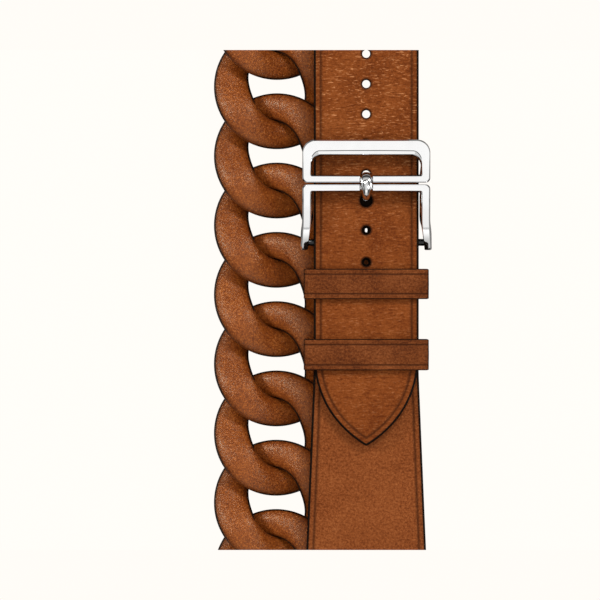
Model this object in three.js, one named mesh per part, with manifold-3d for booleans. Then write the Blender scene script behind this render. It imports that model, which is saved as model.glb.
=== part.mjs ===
// A double-wrap leather watch strap, buckled and laid out in a hairpin on a flat surface.
// The right lane holds the buckle strap, the buckle, the keepers and the perforated tail of the long strap.
// The left lane is a curb chain of interlocked leather-covered rings. The long strap turns over at the far
// end and joins the two lanes. Each lane ends in a metal lug that slides into a watch case.
// Millimetres, +Z up, +X to the right, +Y along the lanes towards the turn. The surface below is z = 0.
import * as THREE from "three";
import { mergeVertices } from "three/addons/utils/BufferGeometryUtils.js";
import Module from "manifold-3d";

const wasm = await Module();
wasm.setup();

// ---- Driving dimensions ----
const strapHalf = 9.0; // half the width of an 18 mm strap
const lugHalf = 11.0; // half the strap's width at the lugs
const laneRight = 7.5; // x of the strap lane's centre line
const laneLeft = -7.9; // x of the chain lane's centre line
const outerLeather = 1.0; // thickness of the outer leather
const liningLeather = 0.8; // thickness of the lining
const ply = 0.05; // glue line between the two leathers

// Curb chain
const linkCount = 9;
const linkPitch = 11.95;
const firstLinkY = 48.75;
const ringOuter = 10.8; // outer radius of a ring, seen from above
const ringWidth = 5.4; // mean width of a ring's rounded bar, seen from above
const ringWidthSwing = 0.86; // how much wider the bar is where it passes in front
const ringLean = THREE.MathUtils.degToRad(20); // where the widest part sits, past the side of the ring
const ringTwist = 2.1; // how far the bar rises and falls from the chain's mid plane
const barHalf = 1.5; // half the bar's thickness
const chainZ = ringTwist + barHalf;

// Heights in the strap lane
const barRadius = 0.6; // buckle bars and pins
const foldRadius = barRadius + 0.05 + outerLeather / 2; // centre line of leather folded round a pin
const buckleBarZ = 10.25;
const buckleBarY = 9.9;
const strapTopZ = buckleBarZ + foldRadius; // centre of the buckle strap's outer leather
const tailMidZ = strapTopZ + outerLeather / 2 + 0.1 + liningLeather + ply / 2; // between the tail's two leathers
const tailTopZ = tailMidZ + ply / 2 + outerLeather;

// Buckle
const buckleHalf = 10.95; // half the buckle's width
const sideWidth = 1.5; // width of the frame's sides
const hingeZ = tailTopZ + 2.05; // height of the two centre bars
const upperBarY = 20.7; // the upper frame turns about this bar
const lowerBarY = 19.2;
const frameTopY = 27.45;
const topBarWidth = 2.6;
const frameHalf = 0.8; // half the upper frame's thickness
const cornerRadius = 2.2;
const neckRadius = 0.34; // the bars are thin inside the tongue's eye
const neckHalf = 1.15;
const eyeHalf = 1.0; // half the eye's width
const eyeInner = 1.2;
const eyeOuter = 1.95;
const tongueReach = 2.3; // the hook comes down this far in front of the pivot
const tongueRadius = 0.62; // of the hook, and of its tip
const tipRadius = 0.45;
const tongueDrop = 2.8; // the tip reaches this far below the pivot

// Tail
const tipY = -25.0;
const shoulderY = -9.5;
const tailFlatEndY = 60;
const holeRadius = 0.78;
const holePitch = 5.17;
const holesAbove = [0, 1, 2, 3, 4].map((i) => 21.55 + i * holePitch);
const holesBelow = [11.97, 6.48];
const tongueHole = { y: 17.05, halfX: 1.1, halfY: 1.15 }; // drawn out of round by the tongue

// Buckle strap
const taperStartY = -12.5;
const lugPinY = -60;
const foldBack = 9; // length of leather turned back under a fold

// Keepers
const keeperHalf = 10.6;
const keeperWall = 1.1;
const keeperCorner = 1.5;
const fixedKeeperY = [0.35, 5.25];
const freeKeeperY = [-11.9, -6.75];

// Lugs
const lugEar = 1.2;
const lugGap = 0.2;
const lugDepth = 4.2;
const lugHeight = 3.1;
const chainLugZ = 1.75; // height of the chain lane's lug pin

// ---- Solids ----
// A closed geometry as a manifold solid, with its faces pointing out.
function solid(geometry) {
  const plain = geometry.index ? geometry.toNonIndexed() : geometry.clone();
  const bare = new THREE.BufferGeometry().setAttribute("position", plain.getAttribute("position"));
  const merged = mergeVertices(bare, 1e-4);
  const triVerts = new Uint32Array(merged.index.array);
  const vertProperties = merged.attributes.position.array;
  const made = new wasm.Manifold(new wasm.Mesh({ numProp: 3, vertProperties, triVerts }));
  if (made.volume() > 0) return made;
  for (let i = 0; i < triVerts.length; i += 3) {
    [triVerts[i + 1], triVerts[i + 2]] = [triVerts[i + 2], triVerts[i + 1]];
  }
  return new wasm.Manifold(new wasm.Mesh({ numProp: 3, vertProperties, triVerts }));
}

// A manifold solid as a three.js geometry.
function geometryOf(made) {
  const mesh = made.getMesh();
  const stride = mesh.numProp;
  const positions = new Float32Array(mesh.numVert * 3);
  for (let i = 0; i < mesh.numVert; i++) {
    positions.set(mesh.vertProperties.subarray(i * stride, i * stride + 3), i * 3);
  }
  const geometry = new THREE.BufferGeometry();
  geometry.setAttribute("position", new THREE.BufferAttribute(positions, 3));
  geometry.setIndex(new THREE.BufferAttribute(new Uint32Array(mesh.triVerts), 1));
  return geometry;
}

// A box given by its lowest and highest corners.
function box(low, high) {
  const size = high.map((v, i) => v - low[i]);
  const centre = high.map((v, i) => (v + low[i]) / 2);
  return solid(new THREE.BoxGeometry(...size).translate(...centre));
}

// A round bar along X between two x values.
function barX(x0, x1, y, z, radius, sides = 20) {
  const bar = new THREE.CylinderGeometry(radius, radius, x1 - x0, sides);
  return solid(bar.rotateZ(Math.PI / 2).translate((x0 + x1) / 2, y, z));
}

// A shape drawn in x and y, extruded from z0 to z1.
function plate(shape, z0, z1, curveSegments = 10) {
  const options = { depth: z1 - z0, bevelEnabled: false, curveSegments };
  return solid(new THREE.ExtrudeGeometry(shape, options).translate(0, 0, z0));
}

// A shape drawn in y and z, extruded along X from x0 to x1.
function sidePlate(shape, x0, x1, curveSegments = 10) {
  const geometry = new THREE.ExtrudeGeometry(shape, { depth: x1 - x0, bevelEnabled: false, curveSegments });
  const axes = new THREE.Matrix4().set(0, 0, 1, x0, 1, 0, 0, 0, 0, 1, 0, 0, 0, 0, 0, 1);
  return solid(geometry.applyMatrix4(axes));
}

// A rectangle with its own radius on the two upper and the two lower corners.
function roundedRectangle(x0, y0, x1, y1, upper, lower, path = new THREE.Shape()) {
  path.moveTo(x0 + lower, y0);
  path.lineTo(x1 - lower, y0);
  if (lower) path.absarc(x1 - lower, y0 + lower, lower, -Math.PI / 2, 0);
  path.lineTo(x1, y1 - upper);
  if (upper) path.absarc(x1 - upper, y1 - upper, upper, 0, Math.PI / 2);
  path.lineTo(x0 + upper, y1);
  if (upper) path.absarc(x0 + upper, y1 - upper, upper, Math.PI / 2, Math.PI);
  path.lineTo(x0, y0 + lower);
  if (lower) path.absarc(x0 + lower, y0 + lower, lower, Math.PI, 1.5 * Math.PI);
  return path;
}

// A closed surface through rows of points, each row a ring of equal length. Rows close on themselves when
// looped; otherwise both ends are capped with a fan.
function loft(rows, looped) {
  const sides = rows[0].length;
  const index = [];
  const last = looped ? rows.length : rows.length - 1;
  for (let i = 0; i < last; i++) {
    for (let k = 0; k < sides; k++) {
      const a = i * sides + k;
      const b = i * sides + ((k + 1) % sides);
      const c = ((i + 1) % rows.length) * sides + k;
      const d = ((i + 1) % rows.length) * sides + ((k + 1) % sides);
      index.push(a, b, d, a, d, c);
    }
  }
  const end = (rows.length - 1) * sides;
  for (let k = 1; k < sides - 1 && !looped; k++) {
    index.push(0, k + 1, k, end, end + k, end + k + 1);
  }
  const geometry = new THREE.BufferGeometry().setFromPoints(rows.flat());
  geometry.setIndex(index);
  return solid(geometry);
}

// A strip of leather along a path. Each stop has its place, and half the strip's width there; the strip lies
// offset from the path along its normal, which is up where the path runs towards -Y.
function strip(stops, thickness, offset) {
  const rows = stops.map((stop, i) => {
    const before = stops[Math.max(i - 1, 0)].place;
    const after = stops[Math.min(i + 1, stops.length - 1)].place;
    const along = after.clone().sub(before).normalize();
    const across = new THREE.Vector3(1, 0, 0).addScaledVector(along, -along.x).normalize();
    const normal = new THREE.Vector3().crossVectors(along, across);
    const corner = (side, height) =>
      stop.place.clone().addScaledVector(across, side * stop.half).addScaledVector(normal, height);
    const low = offset - thickness / 2;
    const high = offset + thickness / 2;
    return [corner(-1, low), corner(1, low), corner(1, high), corner(-1, high)];
  });
  return loft(rows, false);
}

// Stops round a pin, from one angle to another in the YZ plane, measured from +Y towards +Z.
function roundPin(x, y, z, radius, from, to, half, count = 9) {
  return Array.from({ length: count }, (_, i) => {
    const angle = THREE.MathUtils.lerp(from, to, i / (count - 1));
    const place = new THREE.Vector3(x, y + radius * Math.cos(angle), z + radius * Math.sin(angle));
    return { place, half };
  });
}

// ---- Curb chain ----
// A ring is a rounded bar that rises where it crosses over a neighbour and falls where it crosses under.
function ring(y) {
  const steps = 30;
  const sides = 10;
  const rows = Array.from({ length: steps }, (_, i) => {
    const angle = (i / steps) * 2 * Math.PI;
    const width = ringWidth + ringWidthSwing * Math.cos(2 * (angle - ringLean));
    const centre = ringOuter - width / 2;
    const rise = chainZ + ringTwist * Math.sin(2 * angle);
    return Array.from({ length: sides }, (_, k) => {
      const round = (k / sides) * 2 * Math.PI;
      const radius = centre + (width / 2) * Math.cos(round);
      const x = laneLeft - radius * Math.cos(angle);
      return new THREE.Vector3(x, y - radius * Math.sin(angle), rise + barHalf * Math.sin(round));
    });
  });
  return loft(rows, true);
}

const linkY = (n) => firstLinkY - n * linkPitch;
const ringInnerEnd = ringOuter - ringWidth - ringWidthSwing * Math.cos(2 * (Math.PI / 2 - ringLean));
const loopWall = 1.0;
const loopGap = 0.5;
const loopInnerGap = 0.85;
const loopHalf = 1.9;
const loopPad = 7.0; // the loop's flat end, sewn to the strap
const loopPadHalf = 4.6;
const loopTwist = Math.atan((2 * ringTwist) / (ringOuter - ringWidth / 2)); // the ring's slope at its ends

// A leather loop round a ring's end bar, with a flat pad past it. side is 1 at the far end and -1 at the near end.
function endLoop(ringY, side) {
  const nearY = ringInnerEnd - loopInnerGap;
  const farY = ringOuter + loopGap;
  const halfZ = barHalf + loopGap;
  const eye = (grow) => {
    const radius = halfZ + grow;
    return roundedRectangle(nearY - grow, -radius, farY + grow, radius, radius * 0.8, radius * 0.8);
  };
  const outline = eye(loopWall);
  outline.holes.push(eye(0));
  let made = sidePlate(outline, -loopHalf, loopHalf, 6).rotate([0, -THREE.MathUtils.radToDeg(loopTwist), 0]);
  const padY = farY + loopWall * 0.5;
  made = made.add(box([-loopPadHalf, padY, -0.7], [loopPadHalf, farY + loopPad, 0.25]));
  if (side < 0) made = made.rotate([0, 0, 180]);
  return made.translate([laneLeft, ringY, chainZ]);
}

const loopFarY = ringOuter + loopGap + loopPad;

// ---- Long strap ----
// The tail, seen from above: pointed, with a row of round holes. grow widens it evenly.
function tailOutline() {
  const shape = new THREE.Shape();
  const nose = 0.45;
  shape.moveTo(laneRight - strapHalf, tailFlatEndY);
  shape.lineTo(laneRight - strapHalf, shoulderY);
  shape.quadraticCurveTo(laneRight - strapHalf + 0.1, -19.3, laneRight - nose, tipY + 0.2);
  shape.quadraticCurveTo(laneRight, tipY - 0.15, laneRight + nose, tipY + 0.2);
  shape.quadraticCurveTo(laneRight + strapHalf - 0.1, -19.3, laneRight + strapHalf, shoulderY);
  shape.lineTo(laneRight + strapHalf, tailFlatEndY);
  for (const y of [...holesBelow, ...holesAbove]) {
    shape.holes.push(new THREE.Path().absarc(laneRight, y, holeRadius, 0, 2 * Math.PI, true));
  }
  const { y, halfX, halfY } = tongueHole;
  shape.holes.push(new THREE.Path().absellipse(laneRight, y, halfX, halfY, 0, 2 * Math.PI, true, 0));
  return shape;
}

// The turn rises off the flat tail, bends over and comes back to the surface in the chain's lane. Its side
// view is drawn in y and z, and it moves across from one lane to the other evenly along its length.
const turnEndY = firstLinkY + loopFarY - loopPad + 1.4;
const turnEndZ = chainZ - 0.7 - 0.1 - liningLeather - ply / 2;
const turnFloorZ = outerLeather + ply / 2 + 0.45;
function turnStops() {
  const profile = new THREE.CatmullRomCurve3(
    [
      new THREE.Vector3(0, tailFlatEndY - 0.02, tailMidZ),
      new THREE.Vector3(0, tailFlatEndY + 5, tailMidZ + 0.05),
      new THREE.Vector3(0, tailFlatEndY + 13, tailMidZ + 1.0),
      new THREE.Vector3(0, tailFlatEndY + 20.5, tailMidZ + 1.0),
      new THREE.Vector3(0, tailFlatEndY + 26, tailMidZ - 3.2),
      new THREE.Vector3(0, tailFlatEndY + 26, turnFloorZ + 3.4),
      new THREE.Vector3(0, tailFlatEndY + 20.5, turnFloorZ + 0.3),
      new THREE.Vector3(0, tailFlatEndY + 13, turnFloorZ),
      new THREE.Vector3(0, turnEndY + 4.5, turnEndZ - 0.3),
      new THREE.Vector3(0, turnEndY, turnEndZ),
    ],
    false,
    "centripetal",
  );
  const count = 44;
  return profile.getSpacedPoints(count).map((place, i) => {
    place.x = THREE.MathUtils.lerp(laneRight, laneLeft, THREE.MathUtils.smoothstep(i / count, 0.05, 0.9));
    const late = THREE.MathUtils.smoothstep(i / count, 0.72, 1);
    return { place, half: strapHalf - 2.2 * late };
  });
}

function longStrap(thickness, lift) {
  const low = tailMidZ + lift - thickness / 2;
  const flat = plate(tailOutline(), low, low + thickness, 8);
  // Along +Y the strip's normal points down, so the lift changes sign.
  return flat.add(strip(turnStops(), thickness, -lift));
}

// ---- Buckle strap ----
const halfAt = (y) => {
  const share = THREE.MathUtils.clamp((taperStartY - y) / (taperStartY - lugPinY), 0, 1);
  return THREE.MathUtils.lerp(strapHalf, lugHalf, share);
};

// Stops along the buckle strap at one height.
function flatStops(fromY, toY, z, count) {
  return Array.from({ length: count }, (_, i) => {
    const y = THREE.MathUtils.lerp(fromY, toY, i / (count - 1));
    return { place: new THREE.Vector3(laneRight, y, z), half: halfAt(y) };
  });
}

// The outer leather folds round the buckle bar at one end and the lug pin at the other.
function buckleStrapOuter() {
  const half = strapHalf - 0.1;
  const under = buckleBarZ - foldRadius;
  const up = Math.PI / 2;
  const stops = [
    { place: new THREE.Vector3(laneRight, buckleBarY - foldBack, under), half },
    ...roundPin(laneRight, buckleBarY, buckleBarZ, foldRadius, -up, up, half),
    ...flatStops(buckleBarY - 0.6, taperStartY, strapTopZ, 2),
    ...flatStops(taperStartY - 1, lugPinY + 0.8, strapTopZ, 8),
    ...roundPin(laneRight, lugPinY, buckleBarZ, foldRadius, up, 3 * up, lugHalf),
    { place: new THREE.Vector3(laneRight, lugPinY + foldBack, under), half: halfAt(lugPinY + foldBack) },
  ];
  return strip(stops, outerLeather, 0);
}

// The lining lies under the outer leather, between the two folds.
function buckleStrapLining() {
  const depth = (outerLeather + liningLeather) / 2 + ply;
  const startY = buckleBarY - foldBack - 1.2;
  const endY = lugPinY + foldBack + 1.2;
  const stops = [
    ...flatStops(startY, taperStartY, strapTopZ, 2),
    ...flatStops(taperStartY - 1, endY, strapTopZ, 8),
  ];
  return strip(stops, liningLeather, -depth);
}

// ---- Lug strap: joins the last ring to its lug ----
const lastLinkY = linkY(linkCount - 1);
const lugStrapTopY = lastLinkY - ringOuter - loopGap - 1.4;
const lugPinFarY = lugStrapTopY - 24;
const lugStrapZ = chainZ - 0.7 - 0.1 - liningLeather - ply / 2;

function lugStrapStops() {
  const count = 14;
  return Array.from({ length: count }, (_, i) => {
    const share = i / (count - 1);
    const y = THREE.MathUtils.lerp(lugStrapTopY, lugPinFarY + 0.9, share);
    const half = THREE.MathUtils.lerp(6.8, lugHalf, THREE.MathUtils.smoothstep(share, 0, 0.8));
    return { y, half, share };
  });
}

// The lug strap's outer leather lies underneath and folds up round the lug pin.
function lugStrapOuter() {
  const half = Math.PI / 2;
  const startZ = lugStrapZ - ply / 2 - outerLeather / 2;
  const endZ = chainLugZ - foldRadius;
  const run = lugStrapStops().map(({ y, half: wide, share }) => {
    const z = THREE.MathUtils.lerp(startZ, endZ, THREE.MathUtils.smoothstep(share, 0, 1));
    return { place: new THREE.Vector3(laneLeft, y, z), half: wide };
  });
  const stops = [
    ...run,
    ...roundPin(laneLeft, lugPinFarY, chainLugZ, foldRadius, -half, -3 * half, lugHalf),
    { place: new THREE.Vector3(laneLeft, lugPinFarY + foldBack * 0.7, chainLugZ + foldRadius), half: lugHalf - 0.4 },
  ];
  return strip(stops, outerLeather, 0);
}

function lugStrapLining() {
  const startZ = lugStrapZ - ply / 2 - outerLeather / 2;
  const endZ = chainLugZ - foldRadius;
  const endY = lugPinFarY + foldBack * 0.7 + 1.2;
  const stops = lugStrapStops()
    .filter(({ y }) => y > endY)
    .map(({ y, half, share }) => {
      const z = THREE.MathUtils.lerp(startZ, endZ, THREE.MathUtils.smoothstep(share, 0, 1));
      return { place: new THREE.Vector3(laneLeft, y, z), half };
    });
  return strip(stops, liningLeather, (outerLeather + liningLeather) / 2 + ply);
}

// ---- Lug: a flat bar with two ears that hold a pin ----
function lugConnector(x, pinY, pinZ) {
  const wide = lugHalf + lugGap + lugEar;
  const backY = pinY - lugDepth;
  const frontY = pinY + 1.3;
  const shape = roundedRectangle(x - wide, backY, x + wide, frontY, 0.6, 1.6);
  const body = plate(shape, pinZ - lugHeight / 2, pinZ + lugHeight / 2, 6);
  const bay = lugHalf + lugGap;
  const room = foldRadius + outerLeather / 2 + 0.25;
  const cut = box([x - bay, pinY - room, pinZ - lugHeight], [x + bay, frontY + 1, pinZ + lugHeight]);
  const bore = barX(x - wide + 0.4, x + wide - 0.4, pinY, pinZ, barRadius + 0.05);
  return body.subtract(cut).subtract(bore);
}

const lugPin = (x, pinY, pinZ) => {
  const wide = lugHalf + lugGap + lugEar - 0.45;
  return barX(x - wide, x + wide, pinY, pinZ, barRadius);
};

// ---- Buckle ----
const inLane = (made) => made.translate([laneRight, 0, 0]);

// Two bars and the thin neck between them, along X at a given y, for the eye of the tongue.
function neckedBar(y, reach) {
  const left = barX(-reach, -neckHalf, y, hingeZ, barRadius);
  const right = barX(neckHalf, reach, y, hingeZ, barRadius);
  return left.add(right).add(barX(-neckHalf - 0.3, neckHalf + 0.3, y, hingeZ, neckRadius, 14));
}

function upperFrame() {
  const outline = roundedRectangle(-buckleHalf, upperBarY, buckleHalf, frameTopY, cornerRadius, 0);
  const inner = buckleHalf - sideWidth;
  const opening = roundedRectangle(-inner, upperBarY - 1, inner, frameTopY - topBarWidth, 1.7, 0);
  const low = hingeZ - frameHalf;
  const high = hingeZ + frameHalf;
  const arch = plate(outline, low, high, 8).subtract(plate(opening, low - 1, high + 1, 8));
  // The two lower corners are rounded, next to the lower frame.
  const foot = upperBarY - barRadius;
  const trim = roundedRectangle(-buckleHalf, foot, buckleHalf, frameTopY + 1, 0, 0.9);
  const whole = arch.add(neckedBar(upperBarY, buckleHalf));
  return inLane(whole.intersect(plate(trim, low - 1, high + 1, 6)));
}

// A leg runs level from the centre bar, then down to the bar that the buckle strap folds round.
function legShape(thickness) {
  const half = thickness / 2;
  const line = new THREE.CatmullRomCurve3(
    [
      new THREE.Vector3(0, lowerBarY, hingeZ),
      new THREE.Vector3(0, lowerBarY - 3.4, hingeZ - 0.6),
      new THREE.Vector3(0, lowerBarY - 6.9, hingeZ - 2.9),
      new THREE.Vector3(0, buckleBarY, buckleBarZ),
    ],
    false,
    "centripetal",
  ).getPoints(9);
  const sideOf = (sign) =>
    line.map((p, i) => {
      const a = line[Math.max(i - 1, 0)];
      const b = line[Math.min(i + 1, line.length - 1)];
      const along = b.clone().sub(a).normalize();
      return new THREE.Vector2(p.y - sign * along.z * half, p.z + sign * along.y * half);
    });
  return new THREE.Shape([...sideOf(1), ...sideOf(-1).reverse()]);
}

function lowerFrame() {
  const inner = buckleHalf - sideWidth;
  const thick = 1.5;
  let made = neckedBar(lowerBarY, buckleHalf - 0.4);
  for (const [x0, x1] of [[-buckleHalf, -inner], [inner, buckleHalf]]) {
    made = made.add(sidePlate(legShape(thick), x0, x1));
    made = made.add(barX(x0, x1, buckleBarY, buckleBarZ, thick / 2 + 0.15));
    made = made.add(barX(x0, x1, lowerBarY, hingeZ, barRadius));
  }
  // Round the corners next to the upper frame, and drill the ends for the bar.
  const top = lowerBarY + barRadius;
  const outline = roundedRectangle(-buckleHalf, buckleBarY - 2, buckleHalf, top, 1.5, 0);
  const trimmed = made.intersect(plate(outline, 0, hingeZ + 5, 8));
  return inLane(trimmed.subtract(barX(-inner - 1.1, inner + 1.1, buckleBarY, buckleBarZ, barRadius + 0.05)));
}

const buckleBar = () => {
  const reach = buckleHalf - sideWidth + 1.0;
  return inLane(barX(-reach, reach, buckleBarY, buckleBarZ, barRadius));
};

const pivotY = (upperBarY + lowerBarY) / 2;

// The tongue: an eye round both necks, and a hook that leaves the eye over the top and comes down into a hole.
function tongue() {
  const eye = new THREE.Shape().absarc(pivotY, hingeZ, eyeOuter, 0, 2 * Math.PI, false);
  eye.holes.push(new THREE.Path().absarc(pivotY, hingeZ, eyeInner, 0, 2 * Math.PI, true));
  const ringPart = sidePlate(eye, -eyeHalf, eyeHalf, 14);
  const place = (reach, height) => new THREE.Vector3(0, pivotY - reach, hingeZ + height);
  const route = new THREE.CatmullRomCurve3(
    [
      place(-0.7, 1.35),
      place(0.5, 1.55),
      place(1.55, 1.0),
      place(tongueReach - 0.12, -0.1),
      place(tongueReach, -1.3),
      place(tongueReach, -tongueDrop),
    ],
    false,
    "centripetal",
  );
  const steps = 14;
  const sides = 12;
  const rows = Array.from({ length: steps + 1 }, (_, i) => {
    const centre = route.getPointAt(i / steps);
    const along = route.getTangentAt(i / steps);
    const radius = THREE.MathUtils.lerp(tongueRadius, tipRadius, THREE.MathUtils.smoothstep(i / steps, 0.55, 1));
    return Array.from({ length: sides }, (_, k) => {
      const round = (k / sides) * 2 * Math.PI;
      const out = radius * Math.sin(round);
      return new THREE.Vector3(radius * Math.cos(round), centre.y - along.z * out, centre.z + along.y * out);
    });
  });
  // The hook starts inside the eye's wall, so the part that would fill the eye is cut away.
  const bore = barX(-eyeHalf - 1, eyeHalf + 1, pivotY, hingeZ, eyeInner, 28);
  return inLane(ringPart.add(loft(rows, false)).subtract(bore));
}

// ---- Keepers: leather bands round both straps ----
function keeper([y0, y1]) {
  const low = buckleBarZ - foldRadius - outerLeather / 2 - 0.1;
  const high = tailTopZ + 0.1;
  const inner = keeperHalf - keeperWall;
  const outline = roundedRectangle(
    -keeperHalf, low - keeperWall, keeperHalf, high + keeperWall, keeperCorner, keeperCorner,
  );
  outline.holes.push(roundedRectangle(-inner, low, inner, high, 0.5, 0.5, new THREE.Path()));
  const band = new THREE.ExtrudeGeometry(outline, { depth: y1 - y0, bevelEnabled: false, curveSegments: 5 });
  return solid(band.rotateX(Math.PI / 2).translate(laneRight, y1, 0));
}

// ---- Assembly ----
const leather = new THREE.MeshStandardMaterial({ color: 0x8a4a20, roughness: 0.55, metalness: 0 });
const steel = new THREE.MeshStandardMaterial({ color: 0xdcdcdc, roughness: 0.15, metalness: 1 });
const strapAssembly = new THREE.Group();

function addPart(name, made, material) {
  const mesh = new THREE.Mesh(geometryOf(made), material);
  mesh.name = name;
  strapAssembly.add(mesh);
}

const outerLift = (outerLeather + ply) / 2;
const liningLift = -(liningLeather + ply) / 2;

addPart("buckle_strap_outer", buckleStrapOuter(), leather);
addPart("buckle_strap_lining", buckleStrapLining(), leather);
addPart("long_strap_outer", longStrap(outerLeather, outerLift), leather);
addPart("long_strap_lining", longStrap(liningLeather, liningLift), leather);
addPart("fixed_keeper", keeper(fixedKeeperY), leather);
addPart("free_keeper", keeper(freeKeeperY), leather);
addPart("buckle_upper_frame", upperFrame(), steel);
addPart("buckle_lower_frame", lowerFrame(), steel);
addPart("buckle_bar", buckleBar(), steel);
addPart("tongue", tongue(), steel);
addPart("buckle_lug", lugConnector(laneRight, lugPinY, buckleBarZ), steel);
addPart("buckle_lug_pin", lugPin(laneRight, lugPinY, buckleBarZ), steel);
addPart("turn_end_loop", endLoop(firstLinkY, 1), leather);
for (let n = 0; n < linkCount; n++) {
  addPart(`chain_link_${String(n + 1).padStart(2, "0")}`, ring(linkY(n)), leather);
}
addPart("lug_end_loop", endLoop(lastLinkY, -1), leather);
addPart("lug_strap_outer", lugStrapOuter(), leather);
addPart("lug_strap_lining", lugStrapLining(), leather);
addPart("chain_lug", lugConnector(laneLeft, lugPinFarY, chainLugZ), steel);
addPart("chain_lug_pin", lugPin(laneLeft, lugPinFarY, chainLugZ), steel);

// The frame's origin is the middle of the base of the whole part.
const bounds = new THREE.Box3().setFromObject(strapAssembly);
const middle = bounds.getCenter(new THREE.Vector3());
strapAssembly.position.set(-middle.x, -middle.y, -bounds.min.z);

export default strapAssembly;
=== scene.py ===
"""Looks for the double-wrap watch strap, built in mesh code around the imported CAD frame.

Sizes are millimetres in the part's drawing coordinates. to_frame() turns them into metres in the frame.
"""
import math

import bmesh
import bpy
from mathutils import Matrix, Vector, geometry


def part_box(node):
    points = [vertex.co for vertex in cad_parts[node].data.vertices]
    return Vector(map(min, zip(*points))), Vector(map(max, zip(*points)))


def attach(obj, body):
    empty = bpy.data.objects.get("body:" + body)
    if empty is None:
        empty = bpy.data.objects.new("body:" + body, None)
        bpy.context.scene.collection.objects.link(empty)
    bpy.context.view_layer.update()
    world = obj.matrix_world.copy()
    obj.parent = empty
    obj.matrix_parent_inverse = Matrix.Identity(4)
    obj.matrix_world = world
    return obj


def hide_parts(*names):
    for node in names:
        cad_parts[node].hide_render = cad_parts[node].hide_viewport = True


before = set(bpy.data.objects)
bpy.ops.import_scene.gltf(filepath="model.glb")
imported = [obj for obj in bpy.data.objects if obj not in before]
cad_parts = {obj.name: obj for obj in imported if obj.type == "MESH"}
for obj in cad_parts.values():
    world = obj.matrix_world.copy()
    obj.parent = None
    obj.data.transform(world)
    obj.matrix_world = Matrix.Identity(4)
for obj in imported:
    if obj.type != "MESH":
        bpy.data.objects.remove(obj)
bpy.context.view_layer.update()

MM = 0.001

# ---- Driving dimensions, as in the part ----
STRAP_HALF = 9.0
LUG_HALF = 11.0
LANE_RIGHT = 7.5
LANE_LEFT = -7.9
OUTER = 1.0
LINING = 0.8
PLY = 0.05  # glue between an outer leather and its lining
LINK_COUNT = 9
PITCH = 11.95
FIRST_LINK_Y = 48.75
RING_OUTER = 10.8
RING_WIDTH = 5.4
RING_FULLER = 0.1  # added to a ring's width, so that crossing strands touch
RING_SWING = 0.86  # a ring's band is wider and narrower by this, twice round
RING_LEAN = math.radians(20)  # where the band is widest
RING_TWIST = 2.1  # how far a ring climbs and dips
BAR_HALF = 1.5  # half a ring's thickness
CHAIN_Z = RING_TWIST + BAR_HALF
BAR = 0.6  # radius of the buckle bar and the lug pins, and half the width of the frames' hinge bars
FOLD = BAR + 0.05 + OUTER / 2  # from a pin's axis to the middle of the leather round it
BUCKLE_BAR_Z = 10.25
BUCKLE_BAR_Y = 9.9
STRAP_TOP_Z = BUCKLE_BAR_Z + FOLD
TAIL_MID_Z = STRAP_TOP_Z + OUTER / 2 + 0.1 + LINING + PLY / 2
TAIL_TOP_Z = TAIL_MID_Z + PLY / 2 + OUTER
BUCKLE_HALF = 10.95
SIDE_WIDTH = 1.5
HINGE_Z = TAIL_TOP_Z + 2.05
UPPER_BAR_Y = 20.7
LOWER_BAR_Y = 19.2
PIVOT_Y = (UPPER_BAR_Y + LOWER_BAR_Y) / 2
FRAME_TOP_Y = 27.45
TOP_BAR_WIDTH = 2.6
FRAME_HALF = 0.8
TIP_Y = -25.0
SHOULDER_Y = -9.5
TAIL_FLAT_END_Y = 60.0
HOLE_RADIUS = 0.78
HOLES = [21.55 + i * 5.17 for i in range(5)] + [11.97, 6.48]
TONGUE_HOLE = (17.05, 1.1, 1.15)  # Y, and half its size across and along
TAPER_START_Y = -12.5
LUG_PIN_Y = -60.0
FOLD_BACK = 9.0  # how far a folded end runs back from its pin
KEEPER_HALF = 10.72
KEEPER_WALL = 1.1
CHAIN_LUG_Z = 1.75

# The row frame's origin, from a piece whose drawing position is known.
_low, _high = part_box("chain_link_01")
_middle = (Vector(_low) + Vector(_high)) / 2 / MM
SHIFT = _middle - Vector((LANE_LEFT, FIRST_LINK_Y, CHAIN_Z))


def to_frame(point):
    """A drawing point in millimetres as a row frame point in metres."""
    return (Vector(point) + SHIFT) * MM


def lerp(a, b, t):
    return a + (b - a) * t


def smoothstep(x, a, b):
    t = min(max((x - a) / (b - a), 0.0), 1.0)
    return t * t * (3 - 2 * t)


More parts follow.
